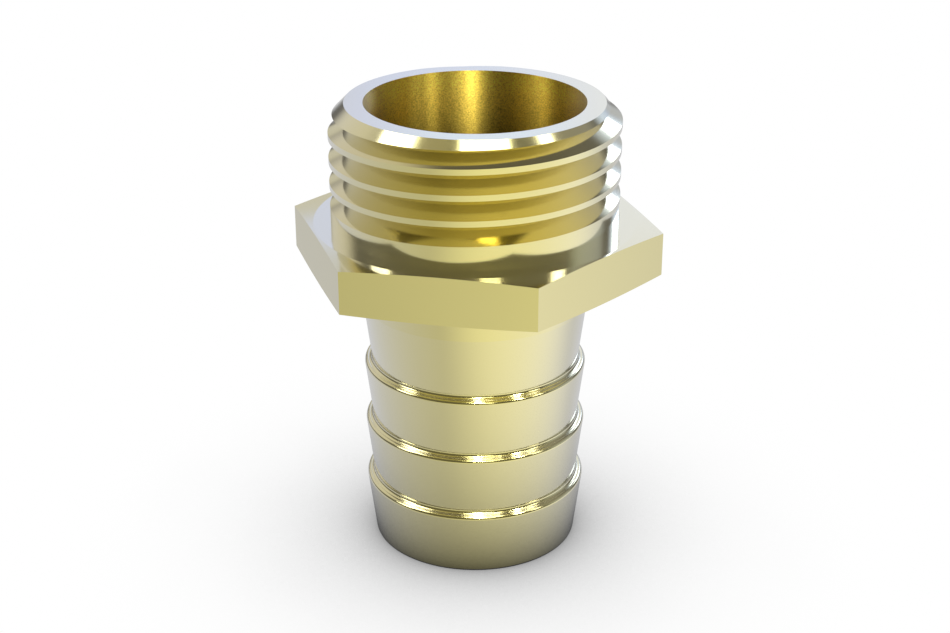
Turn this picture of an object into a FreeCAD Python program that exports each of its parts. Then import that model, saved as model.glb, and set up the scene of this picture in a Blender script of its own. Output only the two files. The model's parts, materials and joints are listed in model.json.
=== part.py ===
import FreeCAD, Part
import math
import os

# Hose barb tail: one brass bar turned to a barbed tail, a spanner hexagon and a male pipe thread.
# Millimetres, +Z up. The origin is on the axis, at the centre of the tail's lower end.

# Barbed tail. Each barb is a cone that narrows downwards from its ridge to the neck below it.
ridge_diameter = 16.63
barb_step = 0.6
barb_pitch = 4.7
barb_count = 3
tip_cone_length = 4.88
collar_length = 2.72

# Edge breaks of the tail, each measured along both faces of its corner.
ridge_break = 0.2
neck_break = 0.2
tip_break = 0.1

# Spanner hexagon. Both faces fall away outside the face circle.
across_flats = 23.8
hex_thickness = 3.5
hex_face_diameter = 23.5
hex_chamfer_angle = 5.0

# Male thread, half inch parallel pipe thread, right hand.
thread_major_diameter = 20.955
thread_pitch = 1.814
thread_angle = 55.0
thread_crest_flat = 0.415
thread_length = 8.8
thread_land = 0.3
end_chamfer_diameter = 18.631
end_chamfer_angle = 45.0

# Passage. The wide upper bore ends in a drill cone that leads to the tail bore.
mouth_diameter = 15.9
mouth_depth = 10.0
drill_point_angle = 118.0
tail_bore_diameter = 13.0

# How far the cutting shapes reach past the surface that they cut.
cut_overrun = 1.0
groove_overrun = 0.2

# Radii worked out from the diameters.
ridge_r = ridge_diameter / 2
thread_major_r = thread_major_diameter / 2
end_chamfer_r = end_chamfer_diameter / 2
mouth_r = mouth_diameter / 2
tail_bore_r = tail_bore_diameter / 2
hex_face_r = hex_face_diameter / 2
hex_corner_r = across_flats / 2 / math.cos(math.radians(30))

# Heights worked out from the lengths.
collar_z = tip_cone_length + barb_count * barb_pitch
hex_bottom_z = collar_z + collar_length
hex_middle_z = hex_bottom_z + hex_thickness / 2
hex_top_z = hex_bottom_z + hex_thickness
top_z = hex_top_z + thread_length
mouth_floor_z = top_z - mouth_depth

# Slopes and the thread groove's section.
barb_slope = barb_step / barb_pitch
hex_chamfer_drop = (hex_corner_r - hex_face_r) * math.tan(math.radians(hex_chamfer_angle))
end_chamfer_height = (thread_major_r - end_chamfer_r) * math.tan(math.radians(end_chamfer_angle))
drill_cone_height = (mouth_r - tail_bore_r) / math.tan(math.radians(drill_point_angle / 2))
flank_slope = math.tan(math.radians(thread_angle / 2))
groove_half_width = (thread_pitch - thread_crest_flat) / 2
groove_root_r = thread_major_r - groove_half_width / flank_slope
groove_start_z = hex_top_z + thread_land + groove_half_width
groove_turns = math.ceil((top_z + groove_half_width - groove_start_z) / thread_pitch)


def section_point(radius, height):
    """A point of the half section, in the plane through the axis and +X."""
    return FreeCAD.Vector(radius, 0, height)


def broken_corner(before, corner, after, leg):
    """The two points that cut a corner off, one on each of its sides."""
    first = corner + (before - corner).normalize() * leg
    second = corner + (after - corner).normalize() * leg
    return [first, second]


def section_face(corners):
    """A face from corners given as (radius, height, edge break), joined in order and closed."""
    points = [section_point(radius, height) for radius, height, _ in corners]
    outline = []
    for index, corner in enumerate(points):
        leg = corners[index][2]
        if leg > 0:
            after = points[(index + 1) % len(points)]
            outline.extend(broken_corner(points[index - 1], corner, after, leg))
        else:
            outline.append(corner)
    return Part.Face(Part.makePolygon(outline + outline[:1]))


def turned(corners):
    """The solid that a closed section makes when it is turned about the Z axis."""
    return section_face(corners).revolve(FreeCAD.Vector(0, 0, 0), FreeCAD.Vector(0, 0, 1), 360)


def turned_blank():
    """The tail with its barbs, and the thread's shank with its end chamfer."""
    corners = [(0, 0, 0)]
    corners.append((ridge_r - tip_cone_length * barb_slope, 0, tip_break))
    for barb in range(barb_count):
        shoulder_z = tip_cone_length + barb * barb_pitch
        corners.append((ridge_r, shoulder_z, ridge_break))
        corners.append((ridge_r - barb_step, shoulder_z, neck_break))
    corners.append((ridge_r, collar_z, 0))
    corners.append((ridge_r, hex_middle_z, 0))
    corners.append((thread_major_r, hex_middle_z, 0))
    corners.append((thread_major_r, top_z - end_chamfer_height, 0))
    corners.append((end_chamfer_r, top_z, 0))
    corners.append((0, top_z, 0))
    return turned(corners)


def hexagon():
    """The spanner hexagon, one corner on +X, cut back by a shallow cone on each face."""
    outline = []
    for corner in range(7):
        angle = math.radians(60 * corner)
        x = hex_corner_r * math.cos(angle)
        y = hex_corner_r * math.sin(angle)
        outline.append(FreeCAD.Vector(x, y, hex_bottom_z))
    prism = Part.Face(Part.makePolygon(outline)).extrude(FreeCAD.Vector(0, 0, hex_thickness))
    cones = turned([
        (0, hex_bottom_z, 0),
        (hex_face_r, hex_bottom_z, 0),
        (hex_corner_r, hex_bottom_z + hex_chamfer_drop, 0),
        (hex_corner_r, hex_top_z - hex_chamfer_drop, 0),
        (hex_face_r, hex_top_z, 0),
        (0, hex_top_z, 0),
    ])
    return prism.common(cones)


def thread_groove():
    """The helical V groove. It starts in a hexagon corner's plane and runs out through the end."""
    turns = []
    for turn in range(groove_turns):
        helix = Part.makeHelix(thread_pitch, thread_pitch, thread_major_r)
        helix.translate(FreeCAD.Vector(0, 0, groove_start_z + turn * thread_pitch))
        turns.extend(helix.Edges)
    outer_r = thread_major_r + groove_overrun
    outer_half_width = groove_half_width + groove_overrun * flank_slope
    section = Part.makePolygon([
        section_point(groove_root_r, groove_start_z),
        section_point(outer_r, groove_start_z - outer_half_width),
        section_point(outer_r, groove_start_z + outer_half_width),
        section_point(groove_root_r, groove_start_z),
    ])
    return Part.Wire(turns).makePipeShell([section], True, True)


def passage():
    """The stepped bore that runs from the mouth to the tail's end."""
    return turned([
        (0, -cut_overrun, 0),
        (tail_bore_r, -cut_overrun, 0),
        (tail_bore_r, mouth_floor_z - drill_cone_height, 0),
        (mouth_r, mouth_floor_z, 0),
        (mouth_r, top_z + cut_overrun, 0),
        (0, top_z + cut_overrun, 0),
    ])


def hose_tail_body():
    """The whole fitting as one solid."""
    body = turned_blank().fuse(hexagon()).removeSplitter()
    body = body.cut(thread_groove())
    return body.cut(passage()).Solids[0]


os.makedirs("parts", exist_ok=True)
body = hose_tail_body()
body.exportStep("parts/hose_tail_body.step")
box = body.optimalBoundingBox(True, False)
print("valid", body.isValid(), "volume", round(body.Volume, 2), "faces", len(body.Faces))
print("width", round(box.XLength, 3), "depth", round(box.YLength, 3), "height", round(box.ZLength, 3))
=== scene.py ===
"""Studio scene of a brass hose tail: a barbed tail, a spanner hexagon and a threaded end on one axis.

The fitting is one turned piece, so it is one closed mesh. Each zone of it is a class that gives the outline
of its half section at any azimuth, and HoseTail joins the zones and gives every face corner the exact normal
of the surface that it lies on. Lengths are metres unless a name ends in mm, and azimuths are degrees from +X,
counter-clockwise from above.
"""

import json
import logging
import math
from dataclasses import dataclass, replace
from enum import Enum
from typing import Any, Sequence

import bpy
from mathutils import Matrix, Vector


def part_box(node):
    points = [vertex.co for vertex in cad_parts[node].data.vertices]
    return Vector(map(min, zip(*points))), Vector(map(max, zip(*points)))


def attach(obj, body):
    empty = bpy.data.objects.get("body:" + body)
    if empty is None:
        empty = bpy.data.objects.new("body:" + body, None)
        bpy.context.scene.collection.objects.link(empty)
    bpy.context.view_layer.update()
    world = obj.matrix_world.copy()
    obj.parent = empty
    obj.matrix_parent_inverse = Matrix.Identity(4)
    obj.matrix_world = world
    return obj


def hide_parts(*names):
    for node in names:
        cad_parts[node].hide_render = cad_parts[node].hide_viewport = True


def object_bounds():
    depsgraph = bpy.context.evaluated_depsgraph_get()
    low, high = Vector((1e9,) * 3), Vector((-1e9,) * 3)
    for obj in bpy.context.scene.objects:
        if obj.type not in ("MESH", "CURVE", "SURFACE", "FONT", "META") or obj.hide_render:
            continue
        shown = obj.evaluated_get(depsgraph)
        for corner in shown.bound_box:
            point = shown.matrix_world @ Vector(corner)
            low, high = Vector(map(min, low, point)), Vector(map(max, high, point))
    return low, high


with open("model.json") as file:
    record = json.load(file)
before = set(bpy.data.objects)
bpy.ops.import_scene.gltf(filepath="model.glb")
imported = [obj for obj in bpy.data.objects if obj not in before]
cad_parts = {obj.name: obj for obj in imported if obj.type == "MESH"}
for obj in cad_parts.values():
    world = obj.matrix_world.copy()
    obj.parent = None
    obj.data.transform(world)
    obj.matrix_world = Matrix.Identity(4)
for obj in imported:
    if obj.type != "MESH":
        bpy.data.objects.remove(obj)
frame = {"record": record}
cad_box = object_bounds()

LOG = logging.getLogger("hose_tail")
MM = 0.001
NODE = "hose_tail_body"
# Half sections round the axis. Six divides it, so the hexagon's corners fall on sections.
COLUMNS = 360
# Points that agree to this many decimals of a metre are one point of the mesh.
POINT_DECIMALS = 9
# The noise of the marks stays mostly between these two values.
MARKS_LOW = 0.25
MARKS_HIGH = 0.75
# How dense the feed's marks are on a face across the axis, where 1 is as dense as on one along it.
FEED_ACROSS = 0.6
# A spread highlight lies along the axis, a quarter of a whole turn from the marks.
QUARTER_TURN = 0.25


def mount_sizes(name: str) -> dict[str, float]:
    """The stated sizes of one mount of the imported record, in metres.

    Args:
        name: The mount's name in the record.

    Returns:
        The mount's radius and length under the names r and length, where it has them.
    """
    dims = next(mount["dims"] for mount in frame["record"]["mounts"] if mount["name"] == name)
    return {key.removesuffix("_mm"): value * MM for key, value in dims.items()}


def linear_colour(hex_colour: str) -> tuple[float, float, float, float]:
    """Turn an sRGB hex colour into linear red, green, blue and a full alpha.

    Args:
        hex_colour: Six hex digits after a hash sign.

    Returns:
        The four numbers that a shader socket takes.
    """
    parts = [int(hex_colour[at:at + 2], 16) / 255 for at in (1, 3, 5)]
    red, green, blue = (
        part / 12.92 if part <= 0.04045 else ((part + 0.055) / 1.055) ** 2.4 for part in parts
    )
    return red, green, blue, 1.0


def add_node(
    tree: bpy.types.NodeTree,
    kind: str,
    settings: dict[str, Any] | None = None,
    links: dict[str | int, Any] | None = None,
) -> bpy.types.Node:
    """Add a shader node with its settings and links.

    Args:
        tree: The node tree that takes it.
        kind: The node's Blender type, such as ShaderNodeMix.
        settings: Node attributes by name, and values of input sockets by socket name or number.
        links: Output sockets that feed the node, by the name or number of its input socket.

    Returns:
        The new node.
    """
    node = tree.nodes.new(kind)
    for name, value in (settings or {}).items():
        if isinstance(name, str) and hasattr(node, name):
            setattr(node, name, value)
        else:
            node.inputs[name].default_value = value
    for name, source in (links or {}).items():
        tree.links.new(source, node.inputs[name])
    return node


class Cut(Enum):
    """How a face of the fitting was made, which settles its finish."""

    TURNED = "turned_brass"
    THREADED = "thread_cut_brass"
    BORED = "bored_brass"
    DRAWN = "drawn_brass"


@dataclass(frozen=True)
class Corner:
    """A corner of a half section: its distance from the axis, its height and the radius that rounds it."""

    radius: float
    height: float
    rounding: float = 0.0

    def vector(self) -> Vector:
        """The corner as a point with radius and height as its two parts."""
        return Vector((self.radius, self.height))


@dataclass(frozen=True)
class Stretch:
    """One stretch of the outline, with the surface normal at its two ends.

    A point is (radius, height). A normal is (outward, around, up), seen from the point's own azimuth. The
    solid lies on the left of the way from start to end.
    """

    start: Vector
    end: Vector
    start_normal: Vector
    end_normal: Vector
    cut: Cut = Cut.TURNED


def straight(start: Vector, end: Vector, cut: Cut = Cut.TURNED) -> Stretch:
    """Make a straight stretch of a surface that goes round the axis.

    Args:
        start: First point, as radius and height.
        end: Last point.
        cut: How the surface was made.

    Returns:
        The stretch, with one normal all along it.
    """
    way = end - start
    normal = Vector((way.y, 0.0, -way.x)).normalized()
    return Stretch(start, end, normal, normal, cut)


def sloped(start: Vector, end: Vector, slope: float, climb: float, cut: Cut) -> Stretch:
    """Make a straight stretch, which may have no length, of a surface that may be swept along a helix.

    Args:
        start: First point, as radius and height.
        end: Last point.
        slope: How fast the radius grows with the height.
        climb: How far the surface climbs for each radian round the axis.
        cut: How the surface was made.

    Returns:
        The stretch with the surface's true normals.
    """
    start_normal, end_normal = (
        Vector((1.0, slope * climb / point.x, -slope)).normalized() for point in (start, end)
    )
    return Stretch(start, end, start_normal, end_normal, cut)


def in_space(point: Vector, normal: Vector, azimuth: float) -> tuple[Vector, Vector]:
    """Turn a point of a half section, and the normal there, to the section's azimuth.

    Args:
        point: The point, as radius and height.
        normal: The normal, as its outward, around and upward parts.
        azimuth: The half section's azimuth.

    Returns:
        The point and the normal in space.
    """
    cosine, sine = math.cos(math.radians(azimuth)), math.sin(math.radians(azimuth))
    outward, around, upward = normal
    place = Vector((point.x * cosine, point.x * sine, point.y))
    return place, Vector((outward * cosine - around * sine, outward * sine + around * cosine, upward))


def rounding_arc(before: Corner, corner: Corner, after: Corner, steps: int) -> list[Stretch]:
    """Make the short stretches of the arc that rounds a corner.

    Args:
        before: The corner before this one.
        corner: The corner to round.
        after: The corner after this one.
        steps: How many stretches the arc has.

    Returns:
        The stretches in order, with the arc's own normals.
    """
    tip = corner.vector()
    to_before = (before.vector() - tip).normalized()
    to_after = (after.vector() - tip).normalized()
    half_angle = to_before.angle(to_after) / 2
    centre = tip + (to_before + to_after).normalized() * (corner.rounding / math.sin(half_angle))
    spoke = tip + to_before * (corner.rounding / math.tan(half_angle)) - centre
    side = 1.0 if to_before.cross(to_after) < 0 else -1.0
    turn = side * (math.pi - 2 * half_angle)
    spokes = []
    for step in range(steps + 1):
        cosine, sine = math.cos(turn * step / steps), math.sin(turn * step / steps)
        spokes.append(Vector((spoke.x * cosine - spoke.y * sine, spoke.x * sine + spoke.y * cosine)))
    normals = [Vector((arm.x, 0.0, arm.y)).normalized() * side for arm in spokes]
    return [
        Stretch(centre + spokes[step], centre + spokes[step + 1], normals[step], normals[step + 1])
        for step in range(steps)
    ]


def turned_outline(corners: Sequence[Corner], cut: Cut = Cut.TURNED, steps: int = 6) -> list[Stretch]:
    """Join corners by straight stretches and round those that have a rounding.

    Args:
        corners: The corners in order. The first and the last have no rounding.
        cut: How the straight surfaces were made.
        steps: How many stretches each rounding has.

    Returns:
        The stretches of a turned surface, in order.
    """
    outline = []
    point = corners[0].vector()
    for index in range(1, len(corners)):
        corner = corners[index]
        if corner.rounding > 0:
            arc = rounding_arc(corners[index - 1], corner, corners[index + 1], steps)
            outline.append(straight(point, arc[0].start, cut))
            outline.extend(arc)
            point = arc[-1].end
        else:
            outline.append(straight(point, corner.vector(), cut))
            point = corner.vector()
    return outline


@dataclass
class BarbedTail:
    """The tail that the hose is pushed on: a tip cone, barbs that narrow downwards, and a plain collar."""

    bore_radius: float
    ridge_radius: float
    collar_length: float
    barb_step: float = 0.6 * MM
    barb_pitch: float = 4.7 * MM
    barb_count: int = 3
    tip_cone_length: float = 4.88 * MM
    ridge_rounding: float = 0.26 * MM
    neck_rounding: float = 0.26 * MM
    tip_rounding: float = 0.15 * MM

    @property
    def top(self) -> float:
        """Height of the collar's upper end."""
        return self.tip_cone_length + self.barb_count * self.barb_pitch + self.collar_length

    def outline(self) -> list[Stretch]:
        """The outline from the tail bore's lower edge out and up to the hexagon.

        Returns:
            The stretches in order.
        """
        slope = self.barb_step / self.barb_pitch
        neck_radius = self.ridge_radius - self.barb_step
        corners = [Corner(self.bore_radius, 0.0)]
        corners.append(Corner(self.ridge_radius - self.tip_cone_length * slope, 0.0, self.tip_rounding))
        for barb in range(self.barb_count):
            shoulder = self.tip_cone_length + barb * self.barb_pitch
            corners.append(Corner(self.ridge_radius, shoulder, self.ridge_rounding))
            corners.append(Corner(neck_radius, shoulder, self.neck_rounding))
        corners.append(Corner(self.ridge_radius, self.top - self.collar_length))
        corners.append(Corner(self.ridge_radius, self.top))
        return turned_outline(corners)


@dataclass
class SpannerHexagon:
    """The hexagon that a spanner holds, one corner on +X, cut back by a shallow cone on both faces."""

    across_flats: float
    bottom: float
    top: float
    collar_radius: float
    shank_radius: float
    face_radius: float = 11.75 * MM
    chamfer_angle: float = 5.0

    def side_distance(self, azimuth: float) -> float:
        """Distance from the axis to the hexagon's side at an azimuth."""
        return self.across_flats / 2 / math.cos(math.radians(azimuth % 60 - 30))

    def outline(self, azimuth: float, facing: float) -> list[Stretch]:
        """The outline from the collar out, up the side and in to the thread's shank.

        Args:
            azimuth: The half section's azimuth.
            facing: An azimuth just beside it, which says which of the six sides is meant at a corner.

        Returns:
            The stretches in order, always five.
        """
        side = self.side_distance(azimuth)
        drop = (side - self.face_radius) * math.tan(math.radians(self.chamfer_angle))
        side_azimuth = math.floor(facing / 60) * 60 + 30
        turn = math.radians(side_azimuth - azimuth)
        side_normal = Vector((math.cos(turn), math.sin(turn), 0.0))
        lower_edge = Vector((side, self.bottom + drop))
        upper_edge = Vector((side, self.top - drop))
        lower_circle = Vector((self.face_radius, self.bottom))
        upper_circle = Vector((self.face_radius, self.top))
        return [
            straight(Vector((self.collar_radius, self.bottom)), lower_circle),
            straight(lower_circle, lower_edge),
            Stretch(lower_edge, upper_edge, side_normal, side_normal, Cut.DRAWN),
            straight(upper_edge, upper_circle),
            straight(upper_circle, Vector((self.shank_radius, self.top))),
        ]


@dataclass
class ThreadedEnd:
    """The male parallel pipe thread: one V groove that climbs anticlockwise and runs out through the end.

    The groove starts with a square end on +X, a land above the hexagon. The end has a chamfer, which cuts the
    last turns of the thread back.
    """

    major_radius: float
    bottom: float
    top: float
    mouth_radius: float
    pitch: float = 1.814 * MM
    thread_angle: float = 55.0
    crest_flat: float = 0.415 * MM
    land: float = 0.3 * MM
    end_radius: float = 9.3155 * MM
    chamfer_angle: float = 45.0

    @property
    def half_width(self) -> float:
        """Half the width of the groove at the crests."""
        return (self.pitch - self.crest_flat) / 2

    @property
    def root_radius(self) -> float:
        """Radius of the groove's bottom."""
        return self.major_radius - self.half_width / math.tan(math.radians(self.thread_angle / 2))

    @property
    def groove_edge(self) -> float:
        """Height of the groove's lower edge where it starts."""
        return self.bottom + self.land

    @property
    def groove_count(self) -> int:
        """How many grooves a half section may cut."""
        return math.ceil((self.top - self.groove_edge) / self.pitch)

    def chamfer_radius(self, height: float) -> float:
        """Radius of the end chamfer's cone at a height."""
        return self.end_radius + (self.top - height) / math.tan(math.radians(self.chamfer_angle))

    def uncut_points(self, azimuth: float) -> list[Vector]:
        """The thread's points from the hexagon up, before the end is cut off and chamfered.

        The land has two more points, which lie where the groove's square end meets it.

        Args:
            azimuth: The half section's azimuth, from 0 to 360.

        Returns:
            Three points of the land, then lower edge, root and upper edge of each groove, and a last crest
            point.
        """
        share = azimuth / 360
        land_mark = self.groove_edge + 2 * self.half_width * share
        land = (self.bottom, self.groove_edge, land_mark)
        points = [Vector((self.major_radius, height)) for height in land]
        for groove in range(self.groove_count):
            edge = self.groove_edge + self.pitch * (groove + share)
            points.append(Vector((self.major_radius, edge)))
            points.append(Vector((self.root_radius, edge + self.half_width)))
            points.append(Vector((self.major_radius, edge + 2 * self.half_width)))
        points.append(Vector((self.major_radius, self.top + self.pitch)))
        return points

    def cut_stretches(self, start: Vector, end: Vector, last: Vector) -> list[Stretch]:
        """Cut one stretch of the thread back to the end chamfer.

        Args:
            start: First uncut point.
            end: Last uncut point.
            last: Where the outline has come to so far.

        Returns:
            Always two stretches, the chamfer's and the thread's, in the order in which they follow.
        """
        climb = self.pitch / (2 * math.pi)
        slope = (end.x - start.x) / (end.y - start.y) if end.y > start.y else 0.0
        fall = 1 / math.tan(math.radians(self.chamfer_angle))
        first, stop = min(start.y, self.top), min(end.y, self.top)
        crossing = start.y + (self.chamfer_radius(start.y) - start.x) / (slope + fall)
        crossing = min(max(crossing, first), stop)
        points = [
            Vector((min(start.x + slope * (height - start.y), self.chamfer_radius(height)), height))
            for height in (first, crossing, stop)
        ]
        if start.y >= self.top:
            points = [last, last, last]
        faces = [
            (slope, climb, Cut.THREADED if slope else Cut.TURNED),
            (-fall, 0.0, Cut.TURNED),
        ]
        if slope + fall < 0:
            faces.reverse()
        return [sloped(points[at], points[at + 1], *faces[at]) for at in (0, 1)]

    def outline(self, azimuth: float) -> list[Stretch]:
        """The outline from the hexagon up the thread and in to the mouth's edge.

        Args:
            azimuth: The half section's azimuth, from 0 to 360.

        Returns:
            The stretches in order, always the same number.
        """
        points = self.uncut_points(azimuth)
        outline: list[Stretch] = []
        for start, end in zip(points, points[1:]):
            outline.extend(self.cut_stretches(start, end, outline[-1].end if outline else start))
        outline.append(straight(outline[-1].end, Vector((self.mouth_radius, self.top))))
        return outline

    def groove_start(self) -> list[Vector]:
        """The three corners of the groove's square end, in space."""
        lower, root, upper = self.uncut_points(0.0)[3:6]
        return [Vector((point.x, 0.0, point.y)) for point in (lower, root, upper)]


@dataclass
class Passage:
    """The passage: a wide bore from the mouth, a drill cone and the narrower bore through the tail."""

    mouth_radius: float
    mouth_depth: float
    tail_radius: float
    top: float
    drill_point_angle: float = 118.0

    def outline(self) -> list[Stretch]:
        """The outline from the mouth's edge down to the tail bore's lower edge.

        Returns:
            The stretches in order.
        """
        floor = self.top - self.mouth_depth
        cone = (self.mouth_radius - self.tail_radius) / math.tan(math.radians(self.drill_point_angle / 2))
        return turned_outline([
            Corner(self.mouth_radius, self.top),
            Corner(self.mouth_radius, floor),
            Corner(self.tail_radius, floor - cone),
            Corner(self.tail_radius, 0.0),
        ], Cut.BORED)


class ShellMesh:
    """Collects faces that share their points, with the surface's own normal at every face corner."""

    def __init__(self) -> None:
        """Start with no point and no face."""
        self.numbers: dict[tuple[float, ...], int] = {}
        self.points: list[Vector] = []
        self.faces: list[list[int]] = []
        self.cuts: list[Cut] = []
        self.normals: list[Vector] = []

    def number(self, key: tuple[float, ...], point: Vector) -> int:
        """The number of a point, which is new where no point has its rounded place yet.

        Args:
            key: The point's rounded place.
            point: The point itself.

        Returns:
            Its number in the mesh.
        """
        if key not in self.numbers:
            self.numbers[key] = len(self.points)
            self.points.append(point)
        return self.numbers[key]

    def add(self, corners: Sequence[tuple[Vector, Vector]], cut: Cut) -> None:
        """Add a face, without the corners that fall together, or nothing where no area is left.

        Args:
            corners: Point and normal of each corner, counter-clockwise from outside.
            cut: How the face was made.
        """
        kept: dict[tuple[float, ...], tuple[Vector, Vector]] = {}
        for point, normal in corners:
            kept.setdefault(tuple(round(part, POINT_DECIMALS) for part in point), (point, normal))
        if len(kept) > 2:
            self.faces.append([self.number(key, point) for key, (point, _) in kept.items()])
            self.normals.extend(normal for _, normal in kept.values())
            self.cuts.append(cut)

    def piece(self, name: str) -> bpy.types.Object:
        """Make the Blender object.

        Args:
            name: The object's name.

        Returns:
            The object, linked to the scene.
        """
        mesh = bpy.data.meshes.new(name)
        mesh.from_pydata(self.points, [], self.faces)
        mesh.shade_smooth()
        mesh.normals_split_custom_set(self.normals)
        order = list(Cut)
        mesh.polygons.foreach_set("material_index", [order.index(cut) for cut in self.cuts])
        piece = bpy.data.objects.new(name, mesh)
        bpy.context.collection.objects.link(piece)
        return piece


@dataclass
class HoseTail:
    """The whole fitting: its zones in order along the outline, and the mesh that they make round the axis."""

    tail: BarbedTail
    hexagon: SpannerHexagon
    thread: ThreadedEnd
    passage: Passage

    @classmethod
    def from_frame(cls) -> "HoseTail":
        """Take the fitting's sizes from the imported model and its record.

        Returns:
            The fitting, ready to build.
        """
        low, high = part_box(NODE)
        collar, mouth, bore = (mount_sizes(name) for name in ("hose_tail", "mouth_bore", "tail_bore"))
        thread, spanner = mount_sizes("male_thread"), mount_sizes("spanner_hexagon")
        tail = BarbedTail(bore["r"], collar["r"], collar["length"])
        hexagon_top = tail.top + spanner["length"]
        hexagon = SpannerHexagon(high.y - low.y, tail.top, hexagon_top, collar["r"], thread["r"])
        end = ThreadedEnd(thread["r"], hexagon_top, high.z, mouth["r"])
        return cls(tail, hexagon, end, Passage(mouth["r"], mouth["length"], bore["r"], high.z))

    def outline(self, azimuth: float, facing: float) -> list[Stretch]:
        """The closed half section at an azimuth.

        Args:
            azimuth: The half section's azimuth, from 0 to 360.
            facing: An azimuth just beside it, which settles the hexagon's side at a corner.

        Returns:
            The stretches in order, the same number at every azimuth.
        """
        return (
            self.tail.outline()
            + self.hexagon.outline(azimuth, facing)
            + self.thread.outline(azimuth)
            + self.passage.outline()
        )

    def build(self) -> bpy.types.Object:
        """Sweep the half section round the axis into one closed mesh.

        Returns:
            The fitting's object.
        """
        shell = ShellMesh()
        for column in range(COLUMNS):
            left, right = column * 360 / COLUMNS, (column + 1) * 360 / COLUMNS
            facing = (left + right) / 2
            for near, far in zip(self.outline(left, facing), self.outline(right, facing)):
                shell.add([
                    in_space(near.start, near.start_normal, left),
                    in_space(far.start, far.start_normal, right),
                    in_space(far.end, far.end_normal, right),
                    in_space(near.end, near.end_normal, left),
                ], near.cut)
        shell.add([(point, Vector((0.0, 1.0, 0.0))) for point in self.thread.groove_start()], Cut.THREADED)
        return shell.piece("hose_tail")

    def dress(self, piece: bpy.types.Object, finishes: dict[Cut, "BareBrass"]) -> None:
        """Give the fitting its finishes and tie it to the frame.

        Args:
            piece: The fitting's object.
            finishes: The finish for each way in which a face was made.
        """
        for cut in Cut:
            material = finishes[cut].material(cut.value)
            piece.data.materials.append(material)
            LOG.info("%s: %s", piece.name, material.name)
        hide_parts(NODE)
        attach(piece, "root")


class Marks(Enum):
    """What the tool leaves on the metal."""

    RINGS = "rings round the axis from a turning tool's feed"
    LINES = "fine lines along the bar from the drawing die"
    GRIT = "a sandy grain from the drill"


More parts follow.
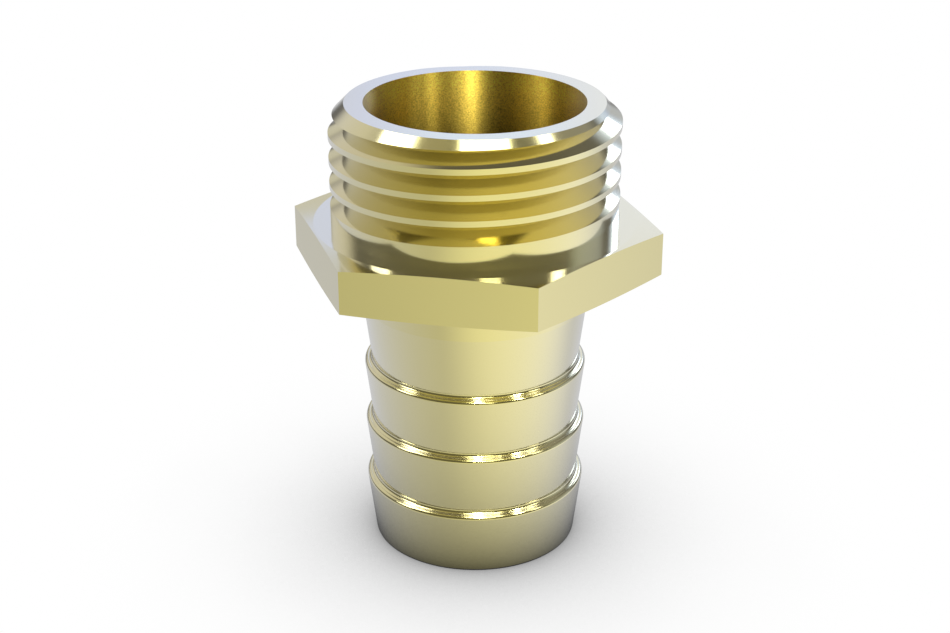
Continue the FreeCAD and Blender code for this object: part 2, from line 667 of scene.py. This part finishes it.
@dataclass(frozen=True)
class BareBrass:
    """Free-cutting brass, cut bright from hexagon bar and left bare.

    The eye gets a pale yellow metal that turns nearly white towards its outline, under faint marks of the
    tool that swing its gloss a little. The thread's flanks and the bore are a deeper gold, which on the
    flanks is painted shade for the grooves. The bore is grained and duller, and painted shade darkens it
    towards its depth.
    """

    marks: Marks = Marks.RINGS
    face_colour: str = "#E5D986"
    edge_colour: str = "#F8F8F8"
    roughness: float = 0.12
    roughness_swing: float = 0.02
    # How far marks that run round the axis spread a highlight along it.
    spread: float = 0.0
    # Share of a full grazing angle at which the pale outline sheen starts, and at which it would be complete.
    sheen_start: float = 0.03
    sheen_full: float = 0.92
    # Real marks are about 0.08 mm apart. They are drawn about three times as coarse, so that they show.
    mark_mm: float = 0.25
    mark_depth_mm: float = 0.0003
    # How much the marks swing the face colour, and the share of it that painted shade leaves at the deep
    # height.
    # It is full, with no painted shade, from the second height up.
    grain_swing: float = 0.0
    shaded_share: float = 1.0
    deep_mm: float = 28.0
    unshaded_mm: float = 33.0

    def material(self, name: str) -> bpy.types.Material:
        """Build the finish.

        Args:
            name: The material's name.

        Returns:
            The material.
        """
        material = bpy.data.materials.new(name)
        material.use_nodes = True
        tree = material.node_tree
        tree.nodes.clear()
        marks = self.tool_marks(tree)
        bump = add_node(
            tree, "ShaderNodeBump", {"Strength": 1.0, "Distance": self.mark_depth_mm * MM}, {"Height": marks}
        )
        roughness = add_node(
            tree,
            "ShaderNodeMapRange",
            {
                "To Min": self.roughness - self.roughness_swing,
                "To Max": self.roughness + self.roughness_swing,
            },
            {"Value": marks},
        )
        round_axis = add_node(tree, "ShaderNodeTangent", {"direction_type": "RADIAL", "axis": "Z"})
        gloss = {
            "Roughness": roughness.outputs["Result"],
            "Normal": bump.outputs["Normal"],
            "Tangent": round_axis.outputs["Tangent"],
        }
        shine = {"Metallic": 1.0, "Anisotropic": self.spread, "Anisotropic Rotation": QUARTER_TURN}
        face, edge = (
            add_node(tree, "ShaderNodeBsdfPrincipled", shine | {"Base Color": linear_colour(colour)}, gloss)
            for colour in (self.face_colour, self.edge_colour)
        )
        if self.grain_swing > 0:
            tree.links.new(self.bored_colour(tree, marks), face.inputs["Base Color"])
        grazing = add_node(tree, "ShaderNodeLayerWeight", {"Blend": 0.5})
        sheen = add_node(
            tree,
            "ShaderNodeMapRange",
            {"From Min": self.sheen_start, "From Max": self.sheen_full},
            {"Value": grazing.outputs["Facing"]},
        )
        mix = add_node(
            tree,
            "ShaderNodeMixShader",
            {},
            {0: sheen.outputs["Result"], 1: face.outputs["BSDF"], 2: edge.outputs["BSDF"]},
        )
        add_node(tree, "ShaderNodeOutputMaterial", {}, {"Surface": mix.outputs["Shader"]})
        return material

    def bored_colour(self, tree: bpy.types.NodeTree, marks: bpy.types.NodeSocket) -> bpy.types.NodeSocket:
        """Add the nodes of the bore's grained colour, which darkens with depth.

        The darkening is matched to the photograph, and stands in for light that fades down the bore.

        Args:
            tree: The material's node tree.
            marks: The marks' height, about 0 to 1.

        Returns:
            A socket that gives the face's colour.
        """
        place = add_node(tree, "ShaderNodeTexCoord").outputs["Object"]
        height = add_node(tree, "ShaderNodeSeparateXYZ", {}, {0: place}).outputs["Z"]
        # Painted shade: the colour falls with depth down the bore, to its share at the deep height.
        depth = {"From Min": self.deep_mm * MM, "From Max": self.unshaded_mm * MM, "To Min": self.shaded_share}
        unshaded = add_node(tree, "ShaderNodeMapRange", depth, {"Value": height})
        swing = {
            "From Min": MARKS_LOW,
            "From Max": MARKS_HIGH,
            "To Min": 1 - self.grain_swing,
            "To Max": 1 + self.grain_swing,
        }
        grain = add_node(tree, "ShaderNodeMapRange", swing, {"Value": marks})
        share = add_node(
            tree,
            "ShaderNodeMath",
            {"operation": "MULTIPLY"},
            {0: unshaded.outputs["Result"], 1: grain.outputs["Result"]},
        )
        colour = {"operation": "SCALE", 0: linear_colour(self.face_colour)[:3]}
        return add_node(tree, "ShaderNodeVectorMath", colour, {"Scale": share.outputs[0]}).outputs["Vector"]

    def tool_marks(self, tree: bpy.types.NodeTree) -> bpy.types.NodeSocket:
        """Add the nodes of the tool's marks.

        Args:
            tree: The material's node tree.

        Returns:
            A socket that gives the marks' height, about 0 to 1.
        """
        place = add_node(tree, "ShaderNodeTexCoord").outputs["Object"]
        pattern = {"Scale": 1 / (self.mark_mm * MM), "Detail": 2.0, "Roughness": 0.6}
        if self.marks is Marks.GRIT:
            return add_node(tree, "ShaderNodeTexNoise", pattern, {"Vector": place}).outputs["Fac"]
        parts = add_node(tree, "ShaderNodeSeparateXYZ", {}, {0: place})
        flat = add_node(
            tree, "ShaderNodeCombineXYZ", {}, {"X": parts.outputs["X"], "Y": parts.outputs["Y"]}
        ).outputs["Vector"]
        if self.marks is Marks.LINES:
            return add_node(tree, "ShaderNodeTexNoise", pattern, {"Vector": flat}).outputs["Fac"]
        radius = add_node(tree, "ShaderNodeVectorMath", {"operation": "LENGTH"}, {0: flat})
        # The feed runs along the outline, so both the height and the radius count.
        along = add_node(
            tree,
            "ShaderNodeMath",
            {"operation": "MULTIPLY_ADD", 1: FEED_ACROSS},
            {0: radius.outputs["Value"], 2: parts.outputs["Z"]},
        )
        pattern["noise_dimensions"] = "1D"
        return add_node(tree, "ShaderNodeTexNoise", pattern, {"W": along.outputs[0]}).outputs["Fac"]


FINISHES: dict[Cut, BareBrass] = {
    Cut.TURNED: BareBrass(),
    # The flanks' deeper gold is painted shade for the thread's grooves.
    Cut.THREADED: BareBrass(face_colour="#DACB76", sheen_start=0.08, sheen_full=1.05),
    # Real grain here is finer than a pixel. It is drawn as coarse as it needs to show.
    Cut.BORED: BareBrass(
        Marks.GRIT,
        face_colour="#FFDC5C",
        roughness=0.43,
        roughness_swing=0.15,
        spread=1.0,
        sheen_start=0.4,
        sheen_full=1.4,
        mark_mm=0.1,
        mark_depth_mm=0.004,
        grain_swing=0.45,
        # Painted shade darkens the bore towards its depth, to a fifth of its colour.
        shaded_share=0.2,
    ),
    # The die's lines are drawn as coarse as they need to show. The duller edge is the photograph's.
    Cut.DRAWN: BareBrass(Marks.LINES, edge_colour="#E4E0D0", sheen_full=1.05, mark_mm=0.3),
}


@dataclass(frozen=True)
class SoftBox:
    """A soft box that hangs round the fitting and looks at it. Width and height are what the fitting sees."""

    name: str
    azimuth: float
    elevation: float
    width: float
    height: float
    brightness: float
    colour: str = "#FFFFFF"
    distance: float = 0.5

    def place(self, target: Vector) -> bpy.types.Object:
        """Hang the soft box.

        Args:
            target: The point that it looks at.

        Returns:
            The lamp's object.
        """
        turn, tilt = math.radians(self.azimuth), math.radians(self.elevation)
        away = Vector((math.cos(turn) * math.cos(tilt), math.sin(turn) * math.cos(tilt), math.sin(tilt)))
        lamp = bpy.data.lights.new(self.name, "AREA")
        lamp.shape = "RECTANGLE"
        lamp.size = 2 * self.distance * math.tan(math.radians(self.width / 2))
        lamp.size_y = 2 * self.distance * math.tan(math.radians(self.height / 2))
        lamp.energy = self.brightness * math.pi * lamp.size * lamp.size_y
        lamp.color = linear_colour(self.colour)[:3]
        piece = bpy.data.objects.new(self.name, lamp)
        piece.location = target + away * self.distance
        piece.rotation_euler = away.to_track_quat("Z", "Y").to_euler()
        bpy.context.collection.objects.link(piece)
        return piece


@dataclass(frozen=True)
class SkyGlow:
    """A soft round patch of the sky, which is full inside the first angle and gone outside the second."""

    azimuth: float
    elevation: float
    full: float
    gone: float
    colour: str
    strength: float = 1.0


@dataclass
class Studio:
    """A plain white floor that keeps the fitting's shadow, a soft sky and soft boxes.

    Azimuths are the photographer's: 0 is towards the camera, and they grow to the camera's right.
    """

    camera_azimuth: float
    floor_radius: float = 1.5
    floor_sides: int = 96
    shadow_reach: float = 30 * MM
    shadow_rays: int = 16
    # Shares of open sky over the floor at which it is black, and at which it is quite white.
    shadow_full: float = 0.13
    shadow_gone: float = 0.94
    # Power that deepens the shadow where the metal mirrors it.
    mirrored_shadow: float = 2.0
    # The floor's brightness in the metal, away from the lit side and on it, and how far towards that side a
    # place lies where it starts to brighten and where it is full. 1 is straight towards the pool's azimuth.
    floor_dim: float = 0.61
    floor_lit: float = 1.03
    pool_azimuth: float = 42.0
    pool_outer: float = 0.16
    pool_inner: float = 0.82
    pool_start: float = 11 * MM
    # The floor also dulls in the metal between these two distances, to a share of its brightness.
    floor_near: float = 160 * MM
    floor_far: float = 500 * MM
    floor_far_share: float = 0.45
    dome_colour: str = "#6A6864"
    glows: tuple[SkyGlow, ...] = (
        SkyGlow(-140.0, 36.0, 16.0, 34.0, "#D6D2C6"),
        SkyGlow(-70.0, 66.0, 4.0, 20.0, "#A8A49A"),
        SkyGlow(100.0, 18.0, 6.0, 24.0, "#AEB4BC"),
        SkyGlow(112.0, 42.0, 10.0, 24.0, "#95938F"),
        SkyGlow(158.0, 5.0, 5.0, 13.0, "#BBBEC2"),
        SkyGlow(176.0, 21.0, 8.0, 18.0, "#EDF0F6"),
        SkyGlow(185.0, 18.5, 5.0, 10.0, "#D6DDF8"),
        SkyGlow(179.5, 19.5, 1.5, 4.5, "#DCEAFF", 1.1),
        SkyGlow(148.0, 22.0, 7.0, 17.0, "#D4E3FF"),
        SkyGlow(193.0, 10.5, 7.0, 10.5, "#CDC9B4"),
    )
    # The two bore boxes are narrow and bright, for the streaks on the bore's far wall.
    boxes: tuple[SoftBox, ...] = (
        SoftBox("front_box", 17.0, 68.0, 25.0, 22.0, 6.0),
        SoftBox("left_box", -93.0, 53.5, 16.0, 20.0, 4.5),
        SoftBox("right_box", 87.0, 56.5, 6.0, 16.0, 5.0),
        SoftBox("window_box", 149.0, 25.0, 18.0, 11.0, 2.6, "#E4EEFF"),
        SoftBox("front_strip", 12.5, 38.0, 13.0, 9.0, 6.0),
        SoftBox("bore_strip", 4.0, 53.0, 5.0, 12.0, 70.0),
        SoftBox("bore_side", 58.0, 50.0, 6.0, 8.0, 45.0),
        SoftBox("left_strip", -84.0, 35.0, 16.0, 9.0, 5.0),
        SoftBox("right_strip", 72.0, 35.0, 10.0, 9.0, 5.0),
    )

    def build(self, target: Vector) -> None:
        """Set up floor, sky and lamps.

        Args:
            target: The point that the lamps look at.
        """
        self.floor()
        self.sky()
        for box in self.boxes:
            replace(box, azimuth=box.azimuth + self.camera_azimuth).place(target)

    def heading(self, azimuth: float) -> tuple[float, float, float]:
        """The level direction at one of the photographer's azimuths."""
        turn = math.radians(azimuth + self.camera_azimuth)
        return math.cos(turn), math.sin(turn), 0.0

    def floor(self) -> bpy.types.Object:
        """Make the floor: a wide round sheet, white where nothing stands near it.

        Returns:
            The floor's object.
        """
        mesh = bpy.data.meshes.new("floor")
        turns = [math.tau * side / self.floor_sides for side in range(self.floor_sides)]
        rim = [(self.floor_radius * math.cos(turn), self.floor_radius * math.sin(turn), 0) for turn in turns]
        mesh.from_pydata(rim, [], [list(range(self.floor_sides))])
        floor = bpy.data.objects.new("floor", mesh)
        bpy.context.collection.objects.link(floor)
        mesh.materials.append(self.floor_material())
        return floor

    def floor_material(self) -> bpy.types.Material:
        """Build the floor's paper white, less the shadow.

        The camera sees it white all over. The metal sees it dimmer away from the lit side and dulling with
        distance, which darkens the fronts of the thread's grooves. Both are matched to the photograph.

        Returns:
            The material.
        """
        material = bpy.data.materials.new("white_paper")
        material.use_nodes = True
        tree = material.node_tree
        tree.nodes.clear()
        place = add_node(tree, "ShaderNodeTexCoord")
        towards = add_node(
            tree,
            "ShaderNodeVectorMath",
            {"operation": "DOT_PRODUCT", 1: self.heading(self.pool_azimuth)},
            {0: place.outputs["Object"]},
        )
        away = add_node(
            tree, "ShaderNodeVectorMath", {"operation": "LENGTH"}, {0: place.outputs["Object"]}
        )
        # The fade shows less close to the fitting, where every azimuth is near every other.
        reach = add_node(
            tree, "ShaderNodeMath", {"operation": "ADD", 1: self.pool_start}, {0: away.outputs["Value"]}
        )
        share = add_node(
            tree,
            "ShaderNodeMath",
            {"operation": "DIVIDE"},
            {0: towards.outputs["Value"], 1: reach.outputs[0]},
        )
        lit = add_node(
            tree,
            "ShaderNodeMapRange",
            {
                "interpolation_type": "SMOOTHSTEP",
                "From Min": self.pool_outer,
                "From Max": self.pool_inner,
                "To Min": self.floor_dim,
                "To Max": self.floor_lit,
            },
            {"Value": share.outputs[0]},
        )
        far = add_node(
            tree,
            "ShaderNodeMapRange",
            {
                "interpolation_type": "SMOOTHSTEP",
                "From Min": self.floor_near,
                "From Max": self.floor_far,
                "To Min": 1.0,
                "To Max": self.floor_far_share,
            },
            {"Value": away.outputs["Value"]},
        )
        mirrored = add_node(
            tree,
            "ShaderNodeMath",
            {"operation": "MULTIPLY"},
            {0: lit.outputs["Result"], 1: far.outputs["Result"]},
        )
        path = add_node(tree, "ShaderNodeLightPath")
        # Of a mix of numbers, socket 0 is the share, and 2 and 3 are the two numbers.
        strength = add_node(
            tree,
            "ShaderNodeMix",
            {"data_type": "FLOAT", 2: 1.0},
            {0: path.outputs["Is Glossy Ray"], 3: mirrored.outputs[0]},
        )
        open_share = add_node(
            tree, "ShaderNodeAmbientOcclusion", {"samples": self.shadow_rays, "Distance": self.shadow_reach}
        )
        shadow = add_node(
            tree,
            "ShaderNodeMapRange",
            {
                "interpolation_type": "SMOOTHSTEP",
                "From Min": self.shadow_full,
                "From Max": self.shadow_gone,
            },
            {"Value": open_share.outputs["AO"]},
        )
        depth = add_node(
            tree,
            "ShaderNodeMapRange",
            {"To Min": 1.0, "To Max": self.mirrored_shadow},
            {"Value": path.outputs["Is Glossy Ray"]},
        )
        shade = add_node(
            tree,
            "ShaderNodeMath",
            {"operation": "POWER"},
            {0: shadow.outputs["Result"], 1: depth.outputs["Result"]},
        )
        level_light = add_node(
            tree, "ShaderNodeMath", {"operation": "MULTIPLY"}, {0: shade.outputs[0], 1: strength.outputs[0]}
        )
        white = add_node(
            tree,
            "ShaderNodeEmission",
            {"Color": linear_colour("#FFFFFF")},
            {"Strength": level_light.outputs[0]},
        )
        matt = add_node(tree, "ShaderNodeBsdfDiffuse", {"Color": linear_colour("#F2F2F2")})
        seen = add_node(
            tree,
            "ShaderNodeMath",
            {"operation": "MAXIMUM"},
            {0: path.outputs["Is Camera Ray"], 1: path.outputs["Is Glossy Ray"]},
        )
        seen_through = add_node(
            tree,
            "ShaderNodeMath",
            {"operation": "MAXIMUM"},
            {0: seen.outputs[0], 1: path.outputs["Is Transmission Ray"]},
        )
        mix = add_node(
            tree,
            "ShaderNodeMixShader",
            {},
            {0: seen_through.outputs[0], 1: matt.outputs["BSDF"], 2: white.outputs["Emission"]},
        )
        add_node(tree, "ShaderNodeOutputMaterial", {}, {"Surface": mix.outputs["Shader"]})
        return material

    def sky(self) -> None:
        """Set the world: white to the camera, and to the metal a dim dome with pale glows."""
        world = bpy.data.worlds.new("studio")
        bpy.context.scene.world = world
        world.use_nodes = True
        tree = world.node_tree
        tree.nodes.clear()
        place = add_node(tree, "ShaderNodeTexCoord")
        dome = add_node(tree, "ShaderNodeRGB")
        dome.outputs[0].default_value = linear_colour(self.dome_colour)
        colour = dome.outputs[0]
        for glow in self.glows:
            tilt = math.radians(glow.elevation)
            towards = Vector(self.heading(glow.azimuth)) * math.cos(tilt) + Vector((0.0, 0.0, math.sin(tilt)))
            near = add_node(
                tree,
                "ShaderNodeVectorMath",
                {"operation": "DOT_PRODUCT", 1: towards},
                {0: place.outputs["Generated"]},
            )
            share = add_node(
                tree,
                "ShaderNodeMapRange",
                {
                    "interpolation_type": "SMOOTHSTEP",
                    "From Min": math.cos(math.radians(glow.gone)),
                    "From Max": math.cos(math.radians(glow.full)),
                },
                {"Value": near.outputs["Value"]},
            )
            bright = Vector(linear_colour(glow.colour)[:3]) * glow.strength
            # Of a mix of colours, socket 0 is the share, 6 and 7 are the two colours, and output 2 is theirs.
            colour = add_node(
                tree,
                "ShaderNodeMix",
                {"data_type": "RGBA", 7: (*bright, 1.0)},
                {0: share.outputs["Result"], 6: colour},
            ).outputs[2]
        soft = add_node(tree, "ShaderNodeBackground", {"Strength": 1.0}, {"Color": colour})
        white = add_node(tree, "ShaderNodeBackground", {"Color": linear_colour("#FFFFFF"), "Strength": 1.0})
        path = add_node(tree, "ShaderNodeLightPath")
        mix = add_node(
            tree,
            "ShaderNodeMixShader",
            {},
            {0: path.outputs["Is Camera Ray"], 1: soft.outputs[0], 2: white.outputs[0]},
        )
        add_node(tree, "ShaderNodeOutputWorld", {}, {"Surface": mix.outputs[0]})


@dataclass(frozen=True)
class PhotoCamera:
    """The camera at the photograph's viewing angle."""

    lens: float = 63.53
    sensor: float = 36.0
    azimuth: float = 12.26
    elevation: float = 23.58
    distance: float = 125.255 * MM
    target_height: float = 17.308 * MM

    def place(self) -> bpy.types.Object:
        """Make the camera, aim it at the axis and make it the scene's own.

        Returns:
            The camera's object.
        """
        turn, tilt = math.radians(self.azimuth), math.radians(self.elevation)
        back = Vector((math.sin(turn) * math.cos(tilt), -math.cos(turn) * math.cos(tilt), math.sin(tilt)))
        lens = bpy.data.cameras.new("photo_camera")
        lens.lens = self.lens
        lens.sensor_width = self.sensor
        lens.clip_start = 0.01
        lens.clip_end = 10.0
        camera = bpy.data.objects.new("photo_camera", lens)
        camera.location = Vector((0.0, 0.0, self.target_height)) + back * self.distance
        camera.rotation_euler = back.to_track_quat("Z", "Y").to_euler()
        bpy.context.collection.objects.link(camera)
        bpy.context.scene.camera = camera
        return camera


def main() -> None:
    """Build the fitting, the studio and the camera."""
    logging.basicConfig(level=logging.INFO, format="%(name)s: %(message)s")
    bpy.context.scene.view_settings.view_transform = "Standard"
    fitting = HoseTail.from_frame()
    piece = fitting.build()
    LOG.info("%s: %d points, %d faces", piece.name, len(piece.data.vertices), len(piece.data.polygons))
    fitting.dress(piece, FINISHES)
    middle = (cad_box[0] + cad_box[1]) / 2
    photo_camera = PhotoCamera()
    Studio(photo_camera.azimuth - 90).build(middle)
    LOG.info("studio set round %s", tuple(round(part, 4) for part in middle))
    camera = photo_camera.place()
    LOG.info("%s at %s", camera.name, tuple(round(part, 4) for part in camera.location))


if __name__ == "__main__":
    main()
